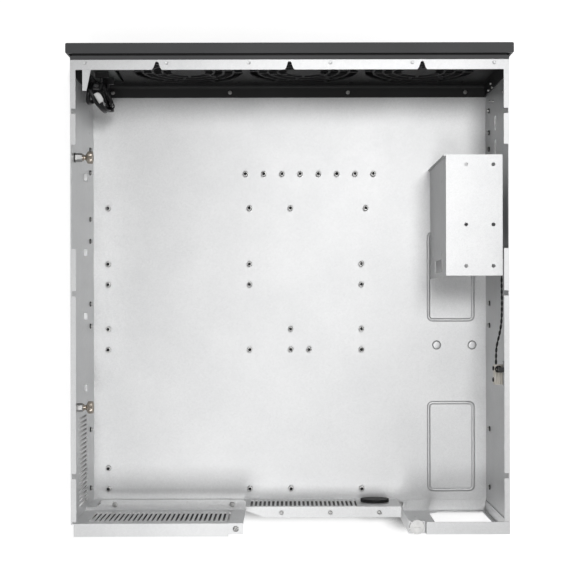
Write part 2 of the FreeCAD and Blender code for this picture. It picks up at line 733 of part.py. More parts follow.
def push_button(z, size):
    face_y = front + BUTTON_PROUD
    collar_y = sheet_back + RUN_GAP
    stem_y = collar_y + COLLAR_SHEET
    cap = box(around(control_x, size), (face_y, collar_y), around(z, size))
    cap = cap.makeChamfer(BUTTON_PROUD, [e for e in cap.Edges if e.BoundBox.YMax < face_y + TINY])
    wide = size + 2 * BUTTON_COLLAR
    collar = box(around(control_x, wide), (collar_y, stem_y), around(z, wide))
    stem = box(around(control_x, STEM_SIZE), (stem_y, switch_front - BUTTON_TRAVEL - RUN_GAP),
               around(z, STEM_SIZE))
    return joined([cap, collar, stem])


def indicator_pipes():
    y = (front + BUTTON_PROUD, board_front)
    return [box(around(control_x, PIPE_WIDTH), y, around(z, PIPE_HEIGHT)) for z in pipe_z]


def usb_shells():
    shells = []
    for z in usb_z:
        y = (front + BUTTON_PROUD, board_front)
        outer = box(around(control_x, USB_WIDTH), y, around(z, USB_HEIGHT))
        shells.append(outer.cut(box(around(control_x, USB_WIDTH - 2 * USB_WALL), y,
                                    around(z, USB_HEIGHT - 2 * USB_WALL))))
    return shells


def usb_tongues():
    y = (sheet_back, board_front)
    return [box(around(control_x, TONGUE_WIDTH), y, around(z, TONGUE_HEIGHT)) for z in usb_z]


def front_board():
    return box(board_x, (board_front, board_back), board_z)


def push_switches():
    y = (switch_front, board_front)
    return [box(around(control_x, SWITCH_SIZE), y, around(z, SWITCH_SIZE)) for z in (POWER_Z, reset_z)]


def board_headers():
    y = (board_back, board_back + HEADER_DEPTH)
    return [box(around(control_x, HEADER_WIDTH), y, around(z, HEADER_HEIGHT))
            for z in (usb_header_z, panel_header_z)]


def ledge_outline(back):
    return [(io_end, ledge_in), (ledge_x - LEDGE_CHAMFER, ledge_in), (ledge_x, back), (io_end, back)]


def rear_lower_panel():
    wall = box((psu_end, inner), (rear_wall, rear_wall + SHEET), (SHEET, panel_top))
    foot = box((psu_end, half - SIDE_FOOT - SHEET), (rear_wall - REAR_FOOT, rear_wall + SHEET), (0, SHEET))
    ledge_z = (panel_top - SHEET, panel_top)
    ledge = along_z(ledge_outline(rear_wall), ledge_z)
    slot_ledge = along_z([(psu_end, rear_wall), (io_end, rear_wall), (io_end, slot_back - SLOT_CHAMFER_Y),
                          (io_end - SLOT_CHAMFER_X, slot_back), (psu_end, slot_back)], ledge_z)
    panel = joined([wall, foot, ledge, slot_ledge])
    span = (rear_wall - SHEET, rear_wall + 2 * SHEET)
    tools = [box(around(io_x, IO_WIDTH), span, (io_z, io_z + IO_HEIGHT))]
    tools += [box(x, span, slot_vent_z) for x in vent_slots(slot_vent_x, SLOT_VENT_COUNT)]
    tools.append(rod(GROMMET_HOLE_R, (grommet_x, span[0], grommet_z), (grommet_x, span[1], grommet_z)))
    through = (ledge_z[0] - SHEET, ledge_z[1] + SHEET)
    tools += [small_hole(SLOT_HOLE_R, *[(x, slot_hole_y, z) for z in through]) for x in slot_hole_x]
    return cut(panel, tools)


def rear_fan_plate():
    wall = box((io_end, inner), (fan_plate, plate_back), (panel_top, lid_tab_top))
    wall_top = box(plate_flange_x, (fan_plate, plate_back), (lid_tab_top, top_under))
    ledge = along_z(ledge_outline(fan_plate), (panel_top, panel_top + SHEET))
    foot = box((io_end, inner), (rear_wall, fan_plate), (panel_top, panel_top + SHEET))
    flange = box(plate_flange_x, (fan_plate, rear), (top_under, HEIGHT))
    lip = box((plate_lip_x, plate_flange_x[1]), (rear - SHEET, rear), (HEIGHT - PLATE_LIP, top_under))
    tab_z = (lid_tab_top - SHEET, lid_tab_top)
    tab = box((io_end, plate_flange_x[0]), (fan_plate, fan_plate + LID_TAB), tab_z)
    plate = joined([wall, wall_top, ledge, foot, flange, lip, tab])
    span = (fan_plate - SHEET, plate_back + SHEET)
    tools = [box(x, span, plate_vent_z) for x in vent_slots(plate_vent_x, PLATE_VENT_COUNT)]
    tools.append(small_hole(PLATE_HOLE_R, *[(plate_hole_x, y, plate_hole_z) for y in span]))
    return cut(plate, tools)


def psu_panel():
    wall = box((-inner, psu_end), (psu_wall, psu_back), (SHEET, HEIGHT))
    span = (psu_wall - OVER, psu_back + OVER)
    corner = box((psu_flange_x, psu_end + OVER), span, (thumb_tab, HEIGHT + OVER))
    left, right = psu_opening_x
    low, high = psu_opening_z
    opening = along_y([(left, low), (right - PSU_CHAMFER, low), (right, low + PSU_CHAMFER), (right, high),
                       (left, high)], span)
    tools = [corner, opening]
    tools += [small_hole(PSU_HOLE_R, (x, span[0], z), (x, span[1], z)) for x, z in psu_holes]
    wall = cut(wall, tools)
    foot = rounded_plate(psu_foot_x, (psu_wall - PSU_FOOT, psu_wall + PSU_FOOT_CORNER),
                         (floor_top, floor_top + SHEET), PSU_FOOT_CORNER)
    foot = foot.cut(box(psu_foot_x, (psu_wall, psu_wall + PSU_FOOT), (floor_top, floor_top + SHEET)))
    flange_y = (psu_wall - PSU_FLANGE, psu_wall)
    flange = box((-inner, psu_flange_x), flange_y, (top_under, HEIGHT))
    lap = box((-inner, SHEET - inner), flange_y, (floor_top + SHEET, top_under))
    cheek = box((psu_end - SHEET, psu_end), (rear_wall + SHEET, psu_wall), (floor_top, thumb_tab))
    tab = box((psu_flange_x + SHEET, psu_end), flange_y, (thumb_tab - SHEET, thumb_tab))
    bore = rod(knob_bore, (thumb_x, thumb_y, 0), (thumb_x, thumb_y, HEIGHT))
    cheek_foot = box((psu_foot_x[1] + RUN_GAP, psu_end - SHEET), flange_y, (floor_top, floor_top + SHEET))
    return joined([wall, foot, flange, lap, cheek, cheek_foot, tab.cut(bore)])


def psu_thumbscrew():
    low = thumb_tab + RUN_GAP
    head = knurled(THUMB_R, THUMB_FLUTES, (thumb_x, thumb_y, low), (thumb_x, thumb_y, HEIGHT))
    slot = box(around(thumb_x, DRIVER_SLOT_LENGTH), around(thumb_y, DRIVER_SLOT),
               (HEIGHT - DRIVER_SLOT, HEIGHT + OVER))
    shank = rod(KNOB_SHANK_R, (thumb_x, thumb_y, low - THUMB_SHANK), (thumb_x, thumb_y, low))
    return joined([head.cut(slot), shank])


def cable_grommet():
    # Closed rubber grommet: its waist fills the hole and its two rims grip the sheet
    at = [(grommet_x, y, grommet_z) for y in (rear_wall - GROMMET_RIM, rear_wall, rear_wall + SHEET,
                                              rear_wall + SHEET + GROMMET_RIM)]
    rims = [rod(grommet_r, at[0], at[1]), rod(grommet_r, at[2], at[3])]
    return joined([rod(GROMMET_HOLE_R, at[1], at[2])] + rims)


def drive_cage():
    right, left = cage_x
    foot_z = floor_top + SHEET
    section = [(left, floor_top), (left, cage_top), (right, cage_top), (right, cage_top - CAGE_DROP),
               (right + SHEET, cage_top - CAGE_DROP), (right + SHEET, cage_top - SHEET),
               (left - SHEET, cage_top - SHEET), (left - SHEET, foot_z), (cage_foot_x, foot_z),
               (cage_foot_x, floor_top)]
    cage = along_y(section, cage_y)
    stiffener = box((left, left + CAGE_RETURN), (cage_y[0], cage_y[0] + SHEET), (floor_top, cage_top))
    cage = joined([cage, stiffener])
    tools = [small_hole(CAGE_HOLE_R, (x, y, cage_top - 2 * SHEET), (x, y, cage_top + SHEET))
             for x in cage_hole_x for y in cage_hole_y]
    side_x = (left - 2 * SHEET, left + SHEET)
    for y in around(drive_y, DRIVE_HOLES_Y):
        for z in around(drive_z, DRIVE_HOLES_Z):
            tools.append(drive_slot(side_x, y, z))
    tools.append(box(side_x, cage_window_y, cage_window_z))
    # The foot is relieved where it crosses two sides of the floor's bead
    relief_x = (bead_x[0] - CAGE_RELIEF, bead_x[0] + BEAD_WIDTH + CAGE_RELIEF)
    relief_y = (bead_y[0][0] - CAGE_RELIEF, bead_y[0][0] + BEAD_WIDTH + CAGE_RELIEF)
    relief_z = (0, foot_z + RUN_GAP)
    tools.append(box((relief_x[0], left + SHEET), relief_y, relief_z))
    tools.append(box(relief_x, (relief_y[0], cage_y[1] + SHEET), relief_z))
    for tool in tools:
        cage = cage.cut(tool)
    return cage


def drive_slot(x, y, z):
    straight = around(y, DRIVE_SLOT - 2 * DRIVE_HOLE_R)
    ends = [round_hole(DRIVE_HOLE_R, (x[0], at, z), (x[1], at, z)) for at in straight]
    return joined([box(x, straight, around(z, 2 * DRIVE_HOLE_R))] + ends)


def standoffs():
    # Hexagonal pillars. The corner ones of the full-size board have round bores, the rest six-sided ones.
    places = [(column, row) for column, rows in STANDOFF_COLUMNS for row in rows]
    places += [(SPARE_FIRST + i * SPARE_PITCH, SPARE_ROW) for i in range(SPARE_COUNT)]
    pillars = []
    for column, row in places:
        x = standoff_x - column * INCH
        y = standoff_y - row * INCH
        ends = ((x, y, floor_top), (x, y, floor_top + STANDOFF_HEIGHT))
        corner = column in BOARD_COLUMNS and row in BOARD_ROWS
        bore = round_hole(STANDOFF_BORE_R, *ends) if corner else prism(6, 2 * STANDOFF_BORE_R, *ends)
        pillars.append(prism(6, STANDOFF_ACROSS, *ends).cut(bore))
    return pillars


def wall_bushings():
    bushings = []
    for y in knob_y:
        ends = ((inner, y, knob_z), (inner - BUSHING_LENGTH, y, knob_z))
        bushings.append(prism(6, BUSHING_ACROSS, *ends).cut(rod(knob_bore, *ends)))
    return bushings


def wall_knob(y):
    neck_x = inner - BUSHING_LENGTH - RUN_GAP
    head_x = neck_x - KNOB_NECK
    shank = rod(KNOB_SHANK_R, (half - RUN_GAP, y, knob_z), (head_x, y, knob_z))
    collar = prism(6, BUSHING_ACROSS - 2 * RUN_GAP, (neck_x, y, knob_z), (neck_x - KNOB_COLLAR, y, knob_z))
    grip = knurled(KNOB_HEAD_R, KNOB_FLUTES, (head_x, y, knob_z), (head_x - KNOB_HEAD, y, knob_z))
    return joined([shank, collar, grip])


def switch_bracket():
    y = (guard_y[0] - GUARD_BRACKET_MARGIN, guard_y[1] + GUARD_BRACKET_MARGIN)
    plate = box((-inner, guard_x[0]), y, (guard_z[0] - GUARD_BRACKET_MARGIN, guard_z[1]))
    shelf = box(guard_x, guard_y, (guard_z[0] - SHEET, guard_z[0]))
    return joined([plate, shelf])


def intrusion_switch():
    seat_size = PLUNGER_SIZE + 2 * RUN_GAP
    seat = box(around(plunger_x, seat_size), around(plunger_y, seat_size),
               (guard_z[1] - PLUNGER_SEAT, guard_z[1] + OVER))
    return box(guard_x, guard_y, guard_z).cut(seat)


def intrusion_plunger():
    low = guard_z[1] - PLUNGER_SEAT + PLUNGER_TRAVEL + RUN_GAP
    cap_low = plunger_top - PLUNGER_CAP
    stem = box(around(plunger_x, PLUNGER_SIZE), around(plunger_y, PLUNGER_SIZE), (low, cap_low))
    cap = box(around(plunger_x, PLUNGER_CAP_SIZE), around(plunger_y, PLUNGER_CAP_SIZE),
              (cap_low, plunger_top))
    return joined([stem, cap])


def cord(name, points, radius):
    # Tube along straight runs joined by tangent arcs, each as large as its two runs allow
    places = [V(*p) for p in points]
    end_faces = prism(CORD_SIDES, 2 * radius, points[0], points[1]).Faces
    section = min(end_faces, key=lambda f: (f.CenterOfMass - places[0]).Length)
    area = section.Area
    last = places[0]
    length = 0.0
    pieces = []
    for before, corner, after in zip(places, places[1:], places[2:]):
        back = (before - corner).normalize()
        on = (after - corner).normalize()
        turn = math.pi - back.getAngle(on)
        reach = BEND_SHARE * min((before - corner).Length, (after - corner).Length)
        bend = reach / math.tan(turn / 2)
        print(name, "turn", round(math.degrees(turn)), "radius", round(bend, 1))
        run = corner + back * reach - last
        centre = corner + (back + on).normalize() * (bend / math.cos(turn / 2))
        axis = on.cross(back)
        pieces.append(section.extrude(run))
        section = section.translated(run)
        pieces.append(section.revolve(centre, axis, math.degrees(turn)))
        section = section.rotated(centre, axis, math.degrees(turn))
        length += run.Length + bend * turn
        last = corner + on * reach
    pieces.append(section.extrude(places[-1] - last))
    length += (places[-1] - last).Length
    tube = pieces[0].multiFuse(pieces[1:])
    ratio = tube.Volume / (area * length)
    print(name, "length", round(length, 1), "volume ratio", round(ratio, 3))
    return tube.Solids[0] if len(tube.Solids) == 1 else tube


def stepped(exit_place, steps):
    # Route points, chosen by hand as steps from the place that the lead leaves
    return [tuple(a + b for a, b in zip(exit_place, step)) for step in steps]


usb_route = stepped(usb_exit, [
    (0.0, 0.0, 0.0),
    (0.0, 11.9, 0.0),
    (1.5, 22.9, 5.5),
    (3.5, 30.9, 17.0),
    (6.0, 34.4, 31.0),
    (8.5, 35.1, 44.5),
    (10.0, 33.8, 56.0),
    (11.0, 28.8, 63.5),
    (11.3, 20.4, 66.6),
    (10.8, 12.1, 63.4),
    (9.6, 7.1, 55.6),
    (8.4, 5.8, 44.5),
    (8.4, 5.8, 34.0),
])
panel_route = stepped(panel_exit, [
    (0.0, 0.0, 0.0),
    (0.0, 10.9, 0.0),
    (-2.0, 21.4, -0.5),
    (-4.0, 29.9, -5.0),
    (-5.0, 33.9, -13.5),
    (-5.0, 34.9, -25.5),
    (-5.0, 34.9, -38.0),
])
guard_route = stepped(guard_exit, [
    (0.0, 0.0, 0.0),
    (0.0, -9.6, 0.0),
    (-0.7, -19.1, -0.5),
    (-3.7, -30.1, -0.9),
    (-5.8, -43.1, -0.3),
    (-6.2, -59.1, 0.5),
    (-5.8, -76.1, 1.1),
    (-5.9, -93.1, 0.5),
    (-5.9, -107.6, 0.5),
])


def lead_plug(route, size):
    # Connector body whose top face meets the lead's hanging end
    x, y, z = route[-1]
    return box(around(x, size[0]), around(y, size[1]), (z - size[2], z))


def guard_plug():
    x, y, z = guard_route[-1]
    size = GUARD_PLUG_SIZE
    return box(around(x, size[0]), (y - size[1], y), around(z, size[2]))


def lead_tag():
    # Blank flag on a loose sleeve at the top of the USB lead's loop
    x, y, z = stepped(usb_exit, [TAG_STEP])[0]
    bore = USB_LEAD_R / math.cos(math.pi / CORD_SIDES) + RUN_GAP
    ends = [(x, at, z) for at in around(y, TAG_SLEEVE)]
    sleeve = prism(CORD_SIDES, 2 * (bore + TAG_SHEET), ends[0], ends[1])
    flag = box((-TAG_LENGTH, 0), around(0, TAG_WIDTH), around(0, TAG_SHEET))
    flag.rotate(V(0, 0, 0), V(0, 0, 1), -TAG_SWING)
    flag.translate(V(x, y, z))
    tunnel = prism(CORD_SIDES, 2 * bore, (x, y - TAG_LENGTH, z), (x, y + TAG_LENGTH, z))
    return joined([sleeve, flag]).cut(tunnel)


def write(name, shape):
    solids = shape if isinstance(shape, list) else [shape]
    body = solids[0] if len(solids) == 1 else Part.makeCompound(solids)
    print(name, "solids", len(body.Solids), "valid", body.isValid(), "volume", round(body.Volume, 1))
    body.exportStep("parts/" + name + ".step")


os.makedirs("parts", exist_ok=True)
write("floor_pan", floor_pan())
write("side_panel_io", side_panel(1))
write("side_panel_psu", side_panel(-1))
write("front_wall", front_wall())
write("front_trim", front_trim())
write("top_rail", top_rail())
write("harness_hook", harness_hook())
write("bezel_frame", bezel_frame())
write("bezel_grille", bezel_grille())
write("power_button", push_button(POWER_Z, POWER_SIZE))
write("reset_button", push_button(reset_z, RESET_SIZE))
write("indicator_pipes", indicator_pipes())
write("usb_shells", usb_shells())
write("usb_tongues", usb_tongues())
write("front_board", front_board())
write("push_switches", push_switches())
write("board_headers", board_headers())
write("rear_lower_panel", rear_lower_panel())
write("rear_fan_plate", rear_fan_plate())
write("psu_panel", psu_panel())
write("psu_thumbscrew", psu_thumbscrew())
write("cable_grommet", cable_grommet())
write("drive_cage", drive_cage())
write("standoffs", standoffs())
write("wall_bushings", wall_bushings())
write("wall_knob_front", wall_knob(knob_y[0]))
write("wall_knob_rear", wall_knob(knob_y[1]))
write("switch_bracket", switch_bracket())
write("intrusion_switch", intrusion_switch())
write("intrusion_plunger", intrusion_plunger())
write("usb_lead", cord("usb_lead", usb_route, USB_LEAD_R))
write("usb_lead_plug", lead_plug(usb_route, PLUG_SIZE))
write("panel_lead", cord("panel_lead", panel_route, PANEL_LEAD_R))
write("panel_lead_plug", lead_plug(panel_route, PANEL_PLUG_SIZE))
write("lead_tag", lead_tag())
write("intrusion_lead", cord("intrusion_lead", guard_route, GUARD_LEAD_R))
write("intrusion_lead_plug", guard_plug())
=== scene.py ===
import json
import math

import bmesh
import bpy
from mathutils import Matrix, Vector


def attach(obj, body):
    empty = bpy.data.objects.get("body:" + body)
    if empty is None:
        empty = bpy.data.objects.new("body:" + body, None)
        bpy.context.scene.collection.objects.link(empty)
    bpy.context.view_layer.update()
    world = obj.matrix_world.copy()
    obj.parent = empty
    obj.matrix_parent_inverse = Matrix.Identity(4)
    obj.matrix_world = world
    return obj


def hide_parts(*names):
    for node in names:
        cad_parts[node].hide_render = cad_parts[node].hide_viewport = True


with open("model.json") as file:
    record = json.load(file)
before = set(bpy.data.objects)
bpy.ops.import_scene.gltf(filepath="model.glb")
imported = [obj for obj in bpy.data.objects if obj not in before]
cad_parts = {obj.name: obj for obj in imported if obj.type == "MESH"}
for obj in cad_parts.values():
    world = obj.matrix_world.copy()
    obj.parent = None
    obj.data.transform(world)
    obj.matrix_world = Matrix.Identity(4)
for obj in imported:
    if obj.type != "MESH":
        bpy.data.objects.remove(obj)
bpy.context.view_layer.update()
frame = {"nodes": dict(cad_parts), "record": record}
nodes = frame["nodes"]

MM = 0.001
INCH = 25.4

# Places on the CAD part that the pieces below are fitted to, in mm
FLOOR_TOP = 2.4
LIP_TOP = 3.6
LEDGE_TOP = 69.6
LID_TAB_TOP = 174.4
CASE_TOP = 176.0
INNER = 218.8
SHEET = 1.2
WALL_FOOT_Y = -230.2
RAIL_Z = 34.4
LEFT_NUTS = (-155.0, -130.0, -79.0, -55.0, 13.6, 37.8, 151.0, 215.0)
RIGHT_NUTS = (-197.0, -173.0, -155.0, 13.6, 37.8, 151.0, 215.0)
KNOB_Z = 152.4
KNOB_Y = {"wall_knob_front": -134.8, "wall_knob_rear": 119.3}

# Materials


class Nodes:
    """A material's node tree with short ways to add and link nodes."""

    def __init__(self, name):
        self.mat = bpy.data.materials.new(name)
        self.mat.use_nodes = True
        self.tree = self.mat.node_tree
        self.shader = self.tree.nodes["Principled BSDF"]
        self.place = self.add("ShaderNodeTexCoord").outputs["Object"]

    def add(self, kind, **values):
        node = self.tree.nodes.new(kind)
        for key, value in values.items():
            setattr(node, key, value)
        return node

    def put(self, socket, value):
        if isinstance(value, bpy.types.NodeSocket):
            self.tree.links.new(value, socket)
        else:
            socket.default_value = value

    def set(self, **values):
        for key, value in values.items():
            self.put(self.shader.inputs[key.replace("_", " ")], value)

    def scaled(self, scale):
        mapping = self.add("ShaderNodeMapping")
        self.put(mapping.inputs["Vector"], self.place)
        mapping.inputs["Scale"].default_value = scale
        return mapping.outputs["Vector"]

    def noise(self, scale, detail, rough, stretch=None):
        node = self.add("ShaderNodeTexNoise")
        self.put(node.inputs["Vector"], self.scaled(stretch) if stretch else self.place)
        node.inputs["Scale"].default_value = scale
        node.inputs["Detail"].default_value = detail
        node.inputs["Roughness"].default_value = rough
        return node.outputs["Fac"]

    def cells(self, scale):
        node = self.add("ShaderNodeTexVoronoi", feature="F1")
        self.put(node.inputs["Vector"], self.place)
        node.inputs["Scale"].default_value = scale
        return node.outputs["Color"]

    def ramp(self, fac, *stops):
        node = self.add("ShaderNodeValToRGB")
        self.put(node.inputs["Fac"], fac)
        while len(node.color_ramp.elements) < len(stops):
            node.color_ramp.elements.new(0.5)
        for element, (position, colour) in zip(node.color_ramp.elements, stops):
            element.position = position
            grey = (colour,) * 3 if isinstance(colour, (int, float)) else colour
            element.color = (*grey, 1.0)
        return node.outputs["Color"]

    def spread(self, fac, low, high):
        node = self.add("ShaderNodeMapRange")
        self.put(node.inputs["Value"], fac)
        node.inputs["From Min"].default_value = 0.3
        node.inputs["From Max"].default_value = 0.7
        node.inputs["To Min"].default_value = low
        node.inputs["To Max"].default_value = high
        return node.outputs["Result"]

    def mix(self, fac, one, two, how="MIX"):
        node = self.add("ShaderNodeMix", data_type="RGBA", blend_type=how)
        self.put(node.inputs["Factor"], fac)
        self.put(node.inputs[6], one)
        self.put(node.inputs[7], two)
        return node.outputs[2]

    def calc(self, operation, one, two):
        node = self.add("ShaderNodeMath", operation=operation)
        self.put(node.inputs[0], one)
        self.put(node.inputs[1], two)
        return node.outputs[0]

    def bump(self, height, strength, distance):
        node = self.add("ShaderNodeBump")
        self.put(node.inputs["Height"], height)
        node.inputs["Strength"].default_value = strength
        node.inputs["Distance"].default_value = distance
        self.tree.links.new(node.outputs["Normal"], self.shader.inputs["Normal"])


def galvanised():
    m = Nodes("galvanised_sheet")
    grain = m.noise(1500.0, 4.0, 0.7)
    spangle = m.cells(420.0)
    cloud = m.noise(14.0, 4.0, 0.6)
    base = m.ramp(cloud, (0.3, (0.74, 0.745, 0.75)), (0.7, (0.8, 0.803, 0.806)))
    fleck = m.ramp(grain, (0.3, 0.66), (0.55, 0.9), (0.75, 1.0))
    colour = m.mix(0.5, base, fleck, "MULTIPLY")
    tone = m.ramp(spangle, (0.0, 0.84), (1.0, 1.0))
    colour = m.mix(0.35, colour, tone, "MULTIPLY")
    m.set(Base_Color=colour, Metallic=0.75, Roughness=m.spread(grain, 0.36, 0.48))
    m.bump(grain, 0.18, 0.0002)
    return m.mat


def powder_coat(name, dark, light, rough):
    m = Nodes(name)
    pebble = m.noise(1900.0, 2.0, 0.5)
    cloud = m.noise(9.0, 3.0, 0.5)
    colour = m.ramp(cloud, (0.3, dark), (0.7, light))
    m.set(Base_Color=colour, Roughness=m.spread(pebble, rough - 0.06, rough + 0.1))
    m.bump(pebble, 0.35, 0.00025)
    return m.mat


def plastic(name, dark, light, rough, grain=2600.0):
    m = Nodes(name)
    fine = m.noise(grain, 2.0, 0.5)
    cloud = m.noise(60.0, 3.0, 0.5)
    m.set(Base_Color=m.ramp(cloud, (0.3, dark), (0.7, light)),
          Roughness=m.spread(fine, rough - 0.05, rough + 0.08))
    m.bump(fine, 0.2, 0.0001)
    return m.mat


def plated(name, dark, light, rough):
    m = Nodes(name)
    fine = m.noise(2400.0, 3.0, 0.6)
    cloud = m.noise(180.0, 3.0, 0.6)
    m.set(Base_Color=m.ramp(cloud, (0.3, dark), (0.7, light)), Metallic=1.0,
          Roughness=m.spread(fine, rough - 0.05, rough + 0.08))
    m.bump(fine, 0.12, 0.0001)
    return m.mat


def light_pipe():
    m = Nodes("light_pipe")
    cloud = m.noise(300.0, 2.0, 0.5)
    m.set(Base_Color=m.ramp(cloud, (0.3, (0.82, 0.86, 0.88)), (0.7, (0.93, 0.95, 0.96))),
          Roughness=m.spread(cloud, 0.08, 0.2), IOR=1.49)
    m.shader.inputs["Transmission Weight"].default_value = 0.7
    return m.mat


def circuit_board():
    m = Nodes("solder_mask")
    cloud = m.noise(220.0, 2.0, 0.5)
    copper = m.noise(420.0, 0.0, 0.5, (1.0, 1.0, 0.12))
    m.set(Base_Color=m.ramp(copper, (0.46, (0.004, 0.01, 0.007)), (0.54, (0.007, 0.017, 0.011))),
          Roughness=m.spread(cloud, 0.28, 0.42))
    m.bump(copper, 0.15, 0.0001)
    return m.mat


LOOKS = {
    "galvanised": galvanised(),
    "black_steel": powder_coat("black_painted_steel", (0.007, 0.007, 0.0075), (0.012, 0.012, 0.013), 0.5),
    "charcoal": powder_coat("charcoal_paint", (0.055, 0.056, 0.058), (0.075, 0.076, 0.079), 0.52),
    "black_plastic": plastic("black_moulding", (0.006, 0.006, 0.0065), (0.012, 0.012, 0.013), 0.42),
    "clear_plastic": light_pipe(),
    "nickel": plated("nickel_plate", (0.5, 0.5, 0.495), (0.66, 0.655, 0.645), 0.38),
    "bronze_nickel": plated("worn_nickel_plate", (0.42, 0.37, 0.31), (0.66, 0.6, 0.53), 0.32),
    "board": circuit_board(),
    "black_rubber": plastic("black_rubber", (0.009, 0.009, 0.009), (0.016, 0.016, 0.016), 0.6, 1400.0),
    "beige_plastic": plastic("beige_moulding", (0.68, 0.64, 0.57), (0.8, 0.77, 0.71), 0.36),
    "black_jacket": plastic("cable_jacket", (0.003, 0.003, 0.0035), (0.006, 0.006, 0.007), 0.34, 1800.0),
    "white_tag": plastic("white_label", (0.8, 0.8, 0.79), (0.88, 0.88, 0.87), 0.5, 1200.0),
}
slot_of = {row["node"]: row["material_slot"] for row in frame["record"]["subparts"]}


def dress(obj, slot):
    obj.data.materials.clear()
    obj.data.materials.append(LOOKS[slot])


# Mesh helpers


def piece(name, bm, body, slot, smooth=35.0, replaces=()):
    """Makes a named object of a mesh, gives it its look and says which body it rides on."""
    mesh = bpy.data.meshes.new(name)
    bmesh.ops.recalc_face_normals(bm, faces=bm.faces[:])
    bm.to_mesh(mesh)
    bm.free()
    obj = bpy.data.objects.new(name, mesh)
    bpy.context.scene.collection.objects.link(obj)
    mesh.shade_smooth()
    mesh.set_sharp_from_angle(angle=math.radians(smooth))
    dress(obj, slot)
    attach(obj, body)
    if replaces:
        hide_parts(*replaces)
    return obj


def turned(bm, profile, place, sides, shape=None):
    """Revolves (radius, height) points, in mm, round Z, then puts the result in place."""
    rings = []
    for radius, height in profile:
        if radius < 1e-6:
            rings.append([bm.verts.new(place @ Vector((0, 0, height * MM)))])
            continue
        ring = []
        for i in range(sides):
            angle = 2 * math.pi * i / sides
            spot = Vector((radius * math.cos(angle), radius * math.sin(angle), height))
            if shape:
                spot = shape(spot, angle)
            ring.append(bm.verts.new(place @ (spot * MM)))
        rings.append(ring)
    for low, high in zip(rings, rings[1:]):
        for i in range(sides):
            j = (i + 1) % sides
            if len(low) == 1:
                bm.faces.new((low[0], high[i], high[j]))
            elif len(high) == 1:
                bm.faces.new((low[i], low[j], high[0]))
            else:
                bm.faces.new((low[i], low[j], high[j], high[i]))


def turned_piece(name, profile, places, slot, sides=24, shape=None, smooth=35.0, body="case", replaces=()):
    """One piece that holds the same turned form at every place."""
    bm = bmesh.new()
    for place in places:
        turned(bm, profile, place, sides, shape)
    return piece(name, bm, body, slot, smooth, replaces)


def extruded(bm, outline, span, axis):
    """Closed outline, in mm, run along an axis: (y, z) points along X, or (x, z) points along Y."""
    ends = []
    for run in span:
        spots = [(run, a, b) if axis == "X" else (a, run, b) for a, b in outline]
        ends.append([bm.verts.new(Vector(spot) * MM) for spot in spots])
    for i in range(len(outline)):
        j = (i + 1) % len(outline)
        bm.faces.new((ends[0][i], ends[0][j], ends[1][j], ends[1][i]))
    bm.faces.new(ends[0])
    bm.faces.new(ends[1])


def at(x, y, z, towards="Z"):
    """A place in mm, with the form's Z turned to point along an axis."""
    turn = {"Z": Matrix.Identity(4), "X": Matrix.Rotation(math.pi / 2, 4, "Y"),
            "-X": Matrix.Rotation(-math.pi / 2, 4, "Y")}[towards]
    return Matrix.Translation(Vector((x, y, z)) * MM) @ turn


def cross_recess(reach, depth):
    """Sinks a cross into the top of a turned form."""
    half_width = 0.42

    def shape(spot, angle):
        radius = math.hypot(spot.x, spot.y)
        away = abs((angle + math.pi / 4) % (math.pi / 2) - math.pi / 4) * radius
        if radius <= reach and away < half_width:
            spot.z -= depth
        return spot
    return shape


def pan_screw(bm, place, r, h):
    """A domed screw head of radius r and height h."""
    profile = [(r * 0.98, 0.0), (r, h * 0.25), (r * 0.95, h * 0.6), (r * 0.8, h * 0.86),
               (r * 0.62, h * 0.97), (r * 0.58, h * 0.98), (r * 0.4, h), (r * 0.22, h), (0.0, h * 0.35)]
    turned(bm, profile, place, 32, cross_recess(r * 0.6, h * 0.6))


# Bought-in fasteners

FIRST_SPIN = 0.4
NEXT_SPIN = 0.9


def screws(name, spots, towards="Z", radius=3.0, height=1.7):
    """One piece of screw heads, each turned a little further than the one before."""
    bm = bmesh.new()
    for i, (x, y, z) in enumerate(spots):
        spin = Matrix.Rotation(FIRST_SPIN + NEXT_SPIN * i, 4, "Z")
        pan_screw(bm, at(x, y, z, towards) @ spin, radius, height)
    return piece(name, bm, "case", "nickel")


screws("lip_screws", [(x, -222.0, LIP_TOP) for x in (197.0, 66.3, -65.2, -196.0)], radius=2.3)
screws("ledge_screws", [(x, 228.8, LEDGE_TOP) for x in (188.0, 62.2)])
screws("slot_ledge_screws", [(x, 237.8, LEDGE_TOP) for x in (9.5, -42.9, -95.3)], radius=2.2, height=1.0)
screws("cage_screws", [(x, y, LIP_TOP) for y in (-125.0, -80.0) for x in (-170.0, -203.0)])
screws("power_bay_screw", [(-123.4, 237.2, LIP_TOP)], radius=2.6)
screws("lid_tab_screw", [(54.75, 239.9, LID_TAB_TOP)], radius=3.0, height=1.3)

# Clinch nuts for the slide rails, each with a dark ring of painted shadow round it
NUT_PROFILE = [(2.0, 0.3), (2.0, 2.0), (1.8, 2.4), (1.7, 2.3), (1.65, 0.0)]
SHADOW_RING_PROFILE = [(2.8, 0.0), (2.7, 0.9), (2.4, 1.1), (1.95, 1.0), (1.95, 0.0)]
nut_places = [at(INNER, y, RAIL_Z, "-X") for y in LEFT_NUTS]
nut_places += [at(-INNER, y, RAIL_Z, "X") for y in RIGHT_NUTS]
turned_piece("rail_nuts", NUT_PROFILE, nut_places, "nickel")
turned_piece("rail_nut_shadow_rings", SHADOW_RING_PROFILE, nut_places, "black_steel")

# Rivets of the front wall's end flange and screws of the wall beside it
flange_face = INNER - SHEET
flange_rivets = [(-flange_face, -223.3, 58.3), (-flange_face, -218.4, 42.1), (-flange_face, -217.6, 70.0)]
wall_screws = [(-INNER, -206.6, 41.0), (-INNER, -202.6, 68.0), (-INNER, -202.1, 145.5)]
screws("end_rivets", flange_rivets + wall_screws, "X", 1.6, 1.8)

